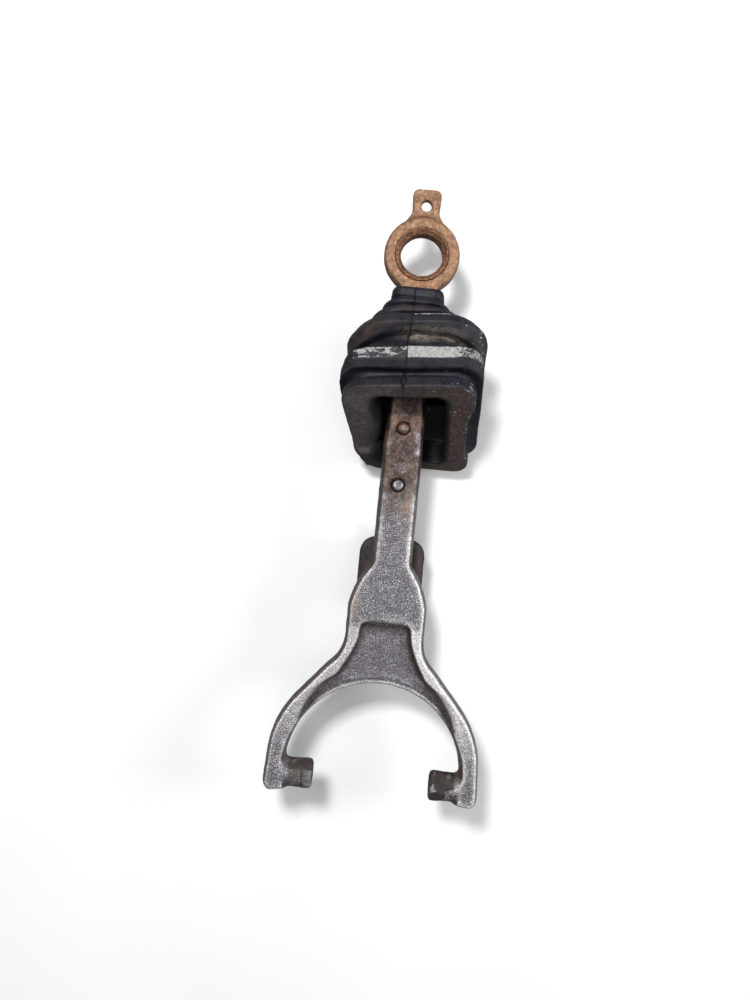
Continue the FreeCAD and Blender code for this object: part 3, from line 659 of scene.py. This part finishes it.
def white_marks(local, normals, place, front, streak):
    """Chalky marks: the stripe on the skirt, which is whole on the right of the seam and worn away in
    streaks on the left, a thin line on the large fold, and the rubbed right side and plate edges."""
    across = local[:, 0]
    skirt_top, skirt_edge = ring_at["skirt_top"], ring_at["skirt_edge"]
    stripe = within(place, (skirt_top - 1.0, skirt_top), (skirt_edge - 0.6, skirt_edge + 0.2))
    worn_left = 0.30 + 0.26 * step_up(-across, 8, 12) + 0.55 * streak
    solid = np.where(across > -3.2, 1.0 - 0.42 * step_up(across, 19, 26), worn_left)
    stripe = stripe * within(across, (-33, -30), (37, 39)) * np.clip(solid, 0, 1)
    top_line = near(place, ring_at["large_fold_top"] + 0.4, 0.8) * within(across, (-3, -1), (24, 28))
    top_line = top_line * np.clip(0.85 + 0.3 * streak, 0, 1)
    rim = near(normals[:, 0], 0.72, 0.16) * step_up(across, 24, 30) * front
    plate_edges = near(place, ring_at["plate_front"], 0.7) * (0.35 + 0.65 * step_up(across, 4, 30))
    plate_edges = np.maximum(plate_edges, 0.8 * near(place, ring_at["plate_back"], 0.5) * front)
    rubbed = np.maximum(0.62 * rim, 0.60 * plate_edges) * np.clip(0.7 + streak, 0, 1)
    return np.maximum(np.maximum(stripe, top_line) * front, rubbed)


def boot_masks(points, normals, place, outside):
    """Where the rubber is scuffed white, dusty tan or olive, filmed with dirt or splashed, and where the plate's
    face is lightened as painted light.
    """
    local = (points - eye) / MM
    across = local[:, 0]
    plate_front, fold_crest = ring_at["plate_front"], ring_at["large_fold_crest"]
    blotch = layered_noise(points, 5 * MM, random_seed + 50, 4)
    streak = layered_noise(points * np.array([0.35, 1.5, 1]), 1.6 * MM, random_seed + 60, 3)
    front = step_up(local[:, 2], 2, 12)
    left_dust = near(across, -24, 9) * near(place, fold_crest, 9)
    neck_dust = near(across, -4, 9) * near(place, ring_at["small_fold_two"], 3)
    valley_dust = near(place, ring_at["valley_four"], 7) * step_up(across, -14, 4)
    face = step_up(place, plate_front - 1, plate_front + 1) * outside
    return {
        "scuffed": white_marks(local, normals, place, front, streak),
        "tan_dust": (left_dust * 1.1 + neck_dust) * np.clip(0.55 + blotch, 0, 1) * front,
        "olive_dust": valley_dust * np.clip(0.5 + 0.8 * blotch, 0, 1) * front,
        "brown_film": face * step_up(across, -12, 16),
        # A grey film on the left of the plate's face, lightened as painted light because the face hardly turns
        # to the lamps.
        "grey_film_and_painted_light": face * (1 - step_up(across, -12, 6)),
        "splashed": step_up(across, 8, 14) * np.where(place > fold_crest, 1, 0.4),
    }


boot_normals = point_normals(boot_flat, boot_quads)
all_masks = boot_masks(boot_flat, boot_normals, boot_place, boot_outside)
# Painted shade: the boot's inside, and its sunken leaf at 0.7, are darkened to near black.
all_masks["inside"] = np.maximum(1 - boot_outside, 0.7 * boot_sunken)
# The split seam, whose colour is darkened to deep black as painted shade.
all_masks["crack"] = boot_crack
for mask_name, mask_values in all_masks.items():
    add_mask(boot_skin, mask_name, mask_values)
    print(mask_name, round(float(mask_values.mean()), 3))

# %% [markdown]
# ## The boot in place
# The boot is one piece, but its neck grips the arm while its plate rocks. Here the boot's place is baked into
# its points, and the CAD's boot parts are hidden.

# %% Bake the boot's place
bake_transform(boot_skin)
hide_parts("boot_neck", "boot_bellows", "boot_flange")

# %% [markdown]
# ## Tools for materials
# A material is a small tree of nodes. The helpers below make one node each, set its values and link its
# inputs, so that a tree reads as a list of steps. Effects that several finishes share are node groups with
# named inputs: the grain of forged scale, rust blooms and settled grime. They put out only colours and
# masks.

# %% Helpers for nodes


def set_inputs(tree, node, inputs):
    """Sets a node's inputs to values, or links them to sockets."""
    for socket, value in inputs.items():
        if isinstance(value, bpy.types.NodeSocket):
            tree.links.new(value, node.inputs[socket])
        else:
            node.inputs[socket].default_value = value


def add_node(tree, kind, inputs=None, **settings):
    """One node with its settings and inputs."""
    made = tree.nodes.new(kind)
    for setting, value in settings.items():
        setattr(made, setting, value)
    set_inputs(tree, made, inputs or {})
    return made


def math_node(tree, operation, first, second, clamp=False):
    """One step of arithmetic. Clamp keeps its result between 0 and 1."""
    made = add_node(tree, "ShaderNodeMath", {0: first, 1: second}, operation=operation, use_clamp=clamp)
    return made.outputs[0]


def times(tree, first, second, clamp=False):
    """The product of two values."""
    return math_node(tree, "MULTIPLY", first, second, clamp)


def plus(tree, first, second, clamp=False):
    """The sum of two values."""
    return math_node(tree, "ADD", first, second, clamp)


def minus(tree, first, second, clamp=False):
    """The first value less the second."""
    return math_node(tree, "SUBTRACT", first, second, clamp)


def larger(tree, first, second):
    """The larger of two values."""
    return math_node(tree, "MAXIMUM", first, second)


def between(tree, value, start, end):
    """A smooth step of a value, from 0 at start to 1 at end. It falls where start is the larger."""
    low, high, out_low, out_high = (start, end, 0.0, 1.0) if start < end else (end, start, 1.0, 0.0)
    limits = {"Value": value, "From Min": low, "From Max": high, "To Min": out_low, "To Max": out_high}
    return add_node(tree, "ShaderNodeMapRange", limits, interpolation_type="SMOOTHSTEP").outputs["Result"]


def opaque(colour):
    """A colour with its alpha, or a socket as it is."""
    return (*colour, 1) if isinstance(colour, tuple) else colour


def ramp(tree, value, stops):
    """A colour ramp through (position, colour) stops."""
    made = add_node(tree, "ShaderNodeValToRGB", {"Fac": value})
    elements = made.color_ramp.elements
    for index, (position, colour) in enumerate(stops):
        element = elements[index] if index < 2 else elements.new(position)
        element.position = position
        element.color = opaque(colour)
    return made.outputs["Color"]


def mix_colour(tree, factor, first, second):
    """A mix of two colours by a factor."""
    inputs = {0: factor, 6: opaque(first), 7: opaque(second)}
    return add_node(tree, "ShaderNodeMix", inputs, data_type="RGBA").outputs[2]


def lay_over(tree, base, mask, strength, colour):
    """A colour laid over a base where a mask is high, at most as strongly as the strength."""
    return mix_colour(tree, times(tree, mask, strength), base, colour)


def object_place(tree):
    """The place on the object, in metres."""
    return add_node(tree, "ShaderNodeTexCoord").outputs["Object"]


def noise(tree, scale, detail=4, roughness=0.6, distortion=0.0):
    """Noise on object coordinates, with its scale in waves per metre."""
    inputs = {"Vector": object_place(tree), "Scale": scale, "Detail": detail}
    inputs |= {"Roughness": roughness, "Distortion": distortion}
    return add_node(tree, "ShaderNodeTexNoise", inputs).outputs["Fac"]


def cell_distance(tree, scale):
    """The distance to the nearest of many scattered points, with their number per metre."""
    inputs = {"Vector": object_place(tree), "Scale": scale}
    return add_node(tree, "ShaderNodeTexVoronoi", inputs).outputs["Distance"]


def attribute(tree, name):
    """A mask that was worked out for the piece's points."""
    return add_node(tree, "ShaderNodeAttribute", attribute_name=name).outputs["Fac"]


print("node helpers ready")

# %% Shared groups: forged grain, rust and grime
value_kind = "NodeSocketFloat"
colour_kind = "NodeSocketColor"
rust_browns = [(0.30, (0.035, 0.016, 0.010)), (0.48, (0.14, 0.060, 0.030)), (0.62, (0.36, 0.16, 0.070))]


def new_group(name, inputs, outputs):
    """An empty shader group, with the sockets that it is given and those of its result. Inputs are names
    with their usual values, and outputs are names with their kinds."""
    group = bpy.data.node_groups.new(name, "ShaderNodeTree")
    for socket_name, usual in inputs.items():
        socket = group.interface.new_socket(socket_name, in_out="INPUT", socket_type=value_kind)
        socket.default_value = usual
    for socket_name, kind in outputs.items():
        group.interface.new_socket(socket_name, in_out="OUTPUT", socket_type=kind)
    return group, group.nodes.new("NodeGroupInput").outputs, group.nodes.new("NodeGroupOutput").inputs


def above_level(tree, pattern, spread, sharpness):
    """Where a pattern stands above a level, from 0 to 1. A larger spread lowers the level."""
    return times(tree, plus(tree, pattern, minus(tree, spread, 1.0)), sharpness, clamp=True)


def forged_grain():
    """Speckle: noise and cells averaged and sharpened, like the crystals of scale on a forging. Height is
    the same pattern, left soft."""
    inputs = {"Fineness": 900.0, "Contrast": 3.0}
    group, given, result = new_group("forged_grain", inputs, {"Speckle": value_kind, "Height": value_kind})
    coarse = noise(group, given["Fineness"], 5, 0.72)
    pits = times(group, cell_distance(group, times(group, given["Fineness"], 1.35)), 0.9)
    both = plus(group, times(group, coarse, 0.75), times(group, pits, 0.25))
    sharp = plus(group, times(group, minus(group, both, 0.5), given["Contrast"]), 0.5, clamp=True)
    group.links.new(sharp, result["Speckle"])
    group.links.new(both, result["Height"])
    return group


def rust_bloom():
    """Rust: broad patches of noise, broken up by finer noise. Its colour runs from dark brown to orange
    tan."""
    inputs = {"Spread": 0.5, "Patch": 90.0}
    group, given, result = new_group("rust_bloom", inputs, {"Colour": colour_kind, "Mask": value_kind})
    broad = noise(group, given["Patch"], 4, 0.6, 0.4)
    fine = noise(group, 780.0, 4, 0.7)
    pattern = plus(group, times(group, broad, 0.7), times(group, fine, 0.3))
    group.links.new(ramp(group, fine, rust_browns), result["Colour"])
    group.links.new(above_level(group, pattern, given["Spread"], 6.0), result["Mask"])
    return group


def settled_grime():
    """Grime: soft patches of noise that a spread value widens."""
    group, given, result = new_group("settled_grime", {"Spread": 0.5, "Patch": 140.0}, {"Mask": value_kind})
    patches = noise(group, given["Patch"], 6, 0.65, 0.3)
    group.links.new(above_level(group, patches, given["Spread"], 5.0), result["Mask"])
    return group


GROUPS = {make.__name__: make() for make in (forged_grain, rust_bloom, settled_grime)}
print("groups", list(GROUPS))

# %% Helpers for whole materials


def place_group(tree, name, **values):
    """A shared group inside a material, with this material's own values."""
    return add_node(tree, "ShaderNodeGroup", values, node_tree=GROUPS[name]).outputs


def new_material(name):
    """A material with an empty tree apart from its shader."""
    material = bpy.data.materials.new(name)
    material.use_nodes = True
    tree = material.node_tree
    return material, tree, tree.nodes["Principled BSDF"]


def bump(tree, shader, height, distance, strength):
    """Bump from a height, with its depth in metres."""
    made = add_node(tree, "ShaderNodeBump", {"Height": height, "Distance": distance, "Strength": strength})
    tree.links.new(made.outputs["Normal"], shader.inputs["Normal"])


def paint(node_or_piece, material):
    """Puts a material on a CAD node or on a new piece."""
    thing = frame["nodes"][node_or_piece] if isinstance(node_or_piece, str) else node_or_piece
    thing.data.materials.clear()
    thing.data.materials.append(material)
    print("painted", thing.name, "with", material.name)


# %% [markdown]
# ## Forged steel
# The fork is bare grey scale, speckled and worn bright along its edges, with a painted highlight that makes the
# edges and ridges brighter on its right. The arm is stained brown near the boot, where grease and water sat, and
# the eye is rusted to an even tan. One material does all three, because they are one piece of metal: the height
# along the arm decides how much rust there is, and the masks that were measured on the skin brighten its edges,
# as wear and painted highlight, and darken its hollows, flanks, eye rim and boss as painted shade.

# %% Forged steel
scale_greys = [(0.05, (0.058, 0.054, 0.065)), (0.50, (0.140, 0.134, 0.154)), (0.95, (0.40, 0.39, 0.41))]
flank_shade_browns = [(0.1, (0.030, 0.017, 0.013)), (0.9, (0.13, 0.080, 0.058))]
soot_browns = [(0.38, (0.008, 0.004, 0.0035)), (0.50, (0.036, 0.019, 0.014)), (0.66, (0.19, 0.115, 0.080))]
dirt_and_shade_blacks = [(0.35, (0.007, 0.005, 0.005)), (0.65, (0.050, 0.034, 0.030))]
eye_tans = [(0.34, (0.10, 0.042, 0.020)), (0.48, (0.31, 0.160, 0.080)), (0.66, (0.56, 0.33, 0.19))]
dull_grey = (0.080, 0.072, 0.078)


def steel_marks(tree):
    """The patterns and masks that several steps read."""
    grain = place_group(tree, "forged_grain", Fineness=1200.0, Contrast=5.6)
    lifted = plus(tree, grain["Speckle"], 0.30)
    return {
        "along": add_node(tree, "ShaderNodeSeparateXYZ", {0: object_place(tree)}).outputs["Y"],
        "speckle": grain["Speckle"],
        "height": grain["Height"],
        "mottle": noise(tree, 230.0, 5, 0.7),
        "ridge": times(tree, attribute(tree, "ridge"), lifted, clamp=True),
        "worn_and_highlit": times(tree, attribute(tree, "worn_and_highlit_edge"), lifted, clamp=True),
        "hollow": times(tree, attribute(tree, "hollow"), 0.8),
        "black": times(tree, attribute(tree, "black_dirt_and_shade_steel"), 1.2, clamp=True),
    }


def bare_scale(tree, marks):
    """Grey speckled scale: dull in patches and in the web, bright on the ridges as a painted highlight and on
    the edges as wear with a painted highlight, darkened in hollows and on the flanks as painted shade, and dark
    in the grease round the rivets."""
    metal = ramp(tree, marks["speckle"], scale_greys)
    metal = lay_over(tree, metal, between(tree, marks["mottle"], 0.56, 0.42), 0.55, dull_grey)
    metal = lay_over(tree, metal, attribute(tree, "web_floor"), 0.35, dull_grey)
    # Painted highlight: the ridge tops are laid over with light grey.
    metal = lay_over(tree, metal, marks["ridge"], 0.8, (0.66, 0.64, 0.64))
    # Worn edges, with a painted highlight that is stronger on the right, are mixed towards near white.
    metal = mix_colour(tree, marks["worn_and_highlit"], metal, (0.84, 0.82, 0.82))
    # Painted shade: hollows are darkened towards a near-black brown.
    metal = mix_colour(tree, marks["hollow"], metal, (0.045, 0.030, 0.028))
    # Painted shade: the flanks are laid over with dark brown.
    metal = lay_over(tree, metal, attribute(tree, "flank_shade"), 0.85, ramp(tree, marks["speckle"], flank_shade_browns))
    return lay_over(tree, metal, attribute(tree, "grease"), 0.75, (0.040, 0.026, 0.021))


def stained_metal(tree, marks, metal):
    """Soot and rust that thicken towards the boot, tan patches, painted shade in black on the boss, and black
    dirt with painted shade on the pads. It gives the colour, and where soot and rust lie."""
    up_arm = between(tree, marks["along"], -0.010, 0.060)
    stain_spread = plus(tree, 0.42, times(tree, up_arm, 0.30))
    patches = place_group(tree, "settled_grime", Spread=stain_spread, Patch=95.0)
    sooty = times(tree, patches["Mask"], up_arm)
    metal = lay_over(tree, metal, sooty, 0.92, ramp(tree, noise(tree, 520.0, 6, 0.78), soot_browns))
    near_boot = times(tree, between(tree, marks["along"], 0.030, 0.090), 0.16)
    spread = plus(tree, plus(tree, 0.34, near_boot), times(tree, marks["hollow"], 0.1))
    rust = place_group(tree, "rust_bloom", Spread=spread, Patch=75.0)
    metal = lay_over(tree, metal, rust["Mask"], 0.8, rust["Colour"])
    patch = times(tree, attribute(tree, "tan_patch"), between(tree, marks["mottle"], 0.36, 0.54))
    metal = lay_over(tree, metal, patch, 0.62, (0.235, 0.160, 0.105))
    # Painted shade on the boss and on the pads' upper halves, with dirt on the pads, mixed towards near black.
    metal = mix_colour(tree, marks["black"], metal, ramp(tree, marks["mottle"], dirt_and_shade_blacks))
    return metal, sooty, rust["Mask"]


def rusted_eye(tree, marks):
    """Even tan rust with darker spots, and painted shade darkening its hollows and rims."""
    tan = ramp(tree, noise(tree, 420.0, 6, 0.75), eye_tans)
    spots = place_group(tree, "settled_grime", Spread=0.54, Patch=300.0)
    tan = lay_over(tree, tan, spots["Mask"], 0.60, (0.10, 0.045, 0.025))
    tan = lay_over(tree, tan, minus(tree, 0.85, marks["speckle"], clamp=True), 0.5, (0.15, 0.075, 0.042))
    # Painted shade: the eye's hollows are darkened.
    tan = mix_colour(tree, marks["hollow"], tan, (0.09, 0.035, 0.018))
    # Painted shade: the eye's rims and inner walls are darkened.
    return mix_colour(tree, attribute(tree, "eye_rim_shade"), tan, (0.055, 0.024, 0.014))


def forged_steel():
    """The whole lever: bare scale, stained towards the boot, and the rusted eye beyond it."""
    material, tree, shader = new_material("forged_steel")
    marks = steel_marks(tree)
    metal, sooty, rusted = stained_metal(tree, marks, bare_scale(tree, marks))
    at_eye = between(tree, marks["along"], 0.140, 0.150)
    rusty = larger(tree, larger(tree, at_eye, rusted), marks["black"])
    rough = plus(tree, 0.42, times(tree, rusty, 0.35))
    rough = minus(tree, rough, times(tree, marks["worn_and_highlit"], 0.14))
    set_inputs(tree, shader, {
        "Base Color": mix_colour(tree, at_eye, metal, rusted_eye(tree, marks)),
        "Metallic": minus(tree, 0.6, times(tree, rusty, 0.6), clamp=True),
        "Roughness": minus(tree, rough, times(tree, sooty, 0.10)),
    })
    bump(tree, shader, marks["height"], 0.0006, 0.8)
    return material


paint(lever_skin, forged_steel())

# %% Small steel pieces


def worn_steel(name, dark, light, rust_spread, roughness):
    """Plain steel with grain and rust: the seat, cup, spring and rivets differ only in these values."""
    material, tree, shader = new_material(name)
    grain = place_group(tree, "forged_grain", Fineness=1300.0, Contrast=3.0)
    rust = place_group(tree, "rust_bloom", Spread=rust_spread, Patch=240.0)
    metal = ramp(tree, grain["Speckle"], [(0.1, dark), (0.9, light)])
    set_inputs(tree, shader, {
        "Base Color": mix_colour(tree, rust["Mask"], metal, rust["Colour"]),
        "Metallic": minus(tree, 0.9, times(tree, rust["Mask"], 0.8)),
        "Roughness": plus(tree, roughness, times(tree, rust["Mask"], 0.3)),
    })
    bump(tree, shader, grain["Height"], 0.0002, 0.6)
    return material


SMALL_STEEL = {
    "eye_seat": worn_steel("seat_steel", (0.055, 0.026, 0.016), (0.25, 0.14, 0.085), 0.60, 0.58),
    "pivot_cup": worn_steel("cup_steel", (0.22, 0.20, 0.18), (0.48, 0.45, 0.42), 0.40, 0.30),
    "retaining_spring": worn_steel("spring_steel", (0.05, 0.05, 0.055), (0.17, 0.165, 0.17), 0.45, 0.42),
    "rivet_upper": worn_steel("rusty_rivet", (0.09, 0.060, 0.050), (0.30, 0.235, 0.20), 0.54, 0.55),
    "rivet_lower": worn_steel("bright_rivet", (0.16, 0.155, 0.17), (0.48, 0.47, 0.50), 0.38, 0.36),
    "rivet_lower_mandrel": worn_steel("dark_mandrel", (0.06, 0.055, 0.06), (0.20, 0.19, 0.20), 0.42, 0.45),
}
for node_name, steel in SMALL_STEEL.items():
    paint(node_name, steel)

# %% [markdown]
# ## Old rubber
# Rubber this old is nearly black and slightly blue where it is clean, brown and dull where road dirt has
# stuck, and scuffed to a chalky white where it has rubbed. The masks from the boot's own surface say where.
# A little noise in the roughness keeps the highlights from looking moulded.

# %% Old rubber
rubber_blacks = [(0.35, (0.004, 0.0046, 0.0078)), (0.65, (0.016, 0.0165, 0.0255))]
film_and_light_greys = [(0.36, (0.050, 0.044, 0.056)), (0.62, (0.19, 0.15, 0.145))]
film_browns = [(0.36, (0.026, 0.016, 0.014)), (0.64, (0.16, 0.105, 0.085))]
scuff_whites = [(0.34, (0.15, 0.147, 0.145)), (0.58, (0.37, 0.36, 0.355))]
deep_black = (0.003, 0.003, 0.003)


def dirty_rubber(tree, broken, tan, olive, scuff):
    """Black rubber under grey and brown films, tan and olive dust and white scuffs. The grey film is lightened
    as painted light on the plate's face. The inside is left black, and the inside and the sunken leaf are
    darkened further as painted shade."""
    base = ramp(tree, noise(tree, 70.0, 6, 0.7), rubber_blacks)
    film = place_group(tree, "settled_grime", Spread=0.52, Patch=150.0)
    base = lay_over(tree, base, film["Mask"], 0.30, (0.050, 0.040, 0.040))
    # Film and painted light: the left of the plate's face is lifted to a pale grey.
    grey_film_and_painted_light = times(tree, attribute(tree, "grey_film_and_painted_light"), noise(tree, 260.0, 6, 0.75))
    base = mix_colour(tree, grey_film_and_painted_light, base, ramp(tree, broken, film_and_light_greys))
    brown_film = times(tree, attribute(tree, "brown_film"), noise(tree, 210.0, 5, 0.7))
    base = mix_colour(tree, brown_film, base, ramp(tree, broken, film_browns))
    base = lay_over(tree, base, tan, 0.32, (0.12, 0.066, 0.034))
    base = lay_over(tree, base, olive, 0.90, (0.30, 0.255, 0.20))
    base = mix_colour(tree, scuff, base, ramp(tree, broken, scuff_whites))
    # Painted shade: the inside and the sunken leaf are mixed towards deep black.
    return lay_over(tree, base, attribute(tree, "inside"), 0.9, deep_black)


def white_specks(tree):
    """Small round splashes: the middles of scattered cells, in patches, where the boot was splashed."""
    dots = between(tree, cell_distance(tree, 520.0), 0.20, 0.10)
    dots = times(tree, dots, between(tree, noise(tree, 120.0, 3), 0.56, 0.66))
    return times(tree, dots, attribute(tree, "splashed"))


def old_rubber():
    """The boot: dirty rubber, then splashes, then painted shade in black along the cracks. Dust and scuffs are
    duller than rubber."""
    material, tree, shader = new_material("old_rubber")
    broken = noise(tree, 620.0, 6, 0.78, 0.6)
    tan = times(tree, attribute(tree, "tan_dust"), between(tree, broken, 0.36, 0.56))
    olive = times(tree, attribute(tree, "olive_dust"), between(tree, broken, 0.30, 0.56))
    solid = plus(tree, attribute(tree, "scuffed"), times(tree, broken, 1.7))
    scuff = times(tree, minus(tree, solid, 1.36), 5.0, clamp=True)
    base = dirty_rubber(tree, broken, tan, olive, scuff)
    base = lay_over(tree, base, white_specks(tree), 0.8, (0.60, 0.58, 0.56))
    dusty = larger(tree, larger(tree, tan, olive), scuff)
    rough = plus(tree, 0.42, times(tree, noise(tree, 150.0, 4), 0.25))
    set_inputs(tree, shader, {
        # Painted shade: the cracks are mixed to deep black.
        "Base Color": mix_colour(tree, attribute(tree, "crack"), base, deep_black),
        "Roughness": plus(tree, rough, times(tree, dusty, 0.25)),
        "Specular IOR Level": 0.26,
    })
    bump(tree, shader, noise(tree, 1100.0, 4, 0.6), 0.00025, 0.6)
    return material


paint(boot_skin, old_rubber())

# %% Pale floor
floor_greys = [(0.2, (0.75, 0.75, 0.75)), (0.8, (0.79, 0.79, 0.79))]


def pale_floor():
    """A pale floor that glows a little to the camera and gives back less light to the object."""
    material, tree, shader = new_material("pale_floor")
    tone = ramp(tree, noise(tree, 8.0, 3, 0.5), floor_greys)
    seen = add_node(tree, "ShaderNodeLightPath").outputs["Is Camera Ray"]
    set_inputs(tree, shader, {
        "Base Color": mix_colour(tree, seen, (0.30, 0.30, 0.30), tone),
        "Emission Color": mix_colour(tree, seen, (0.0, 0.0, 0.0), tone),
        "Emission Strength": 0.06,
        "Roughness": 0.9,
    })
    return material


paint(floor, pale_floor())
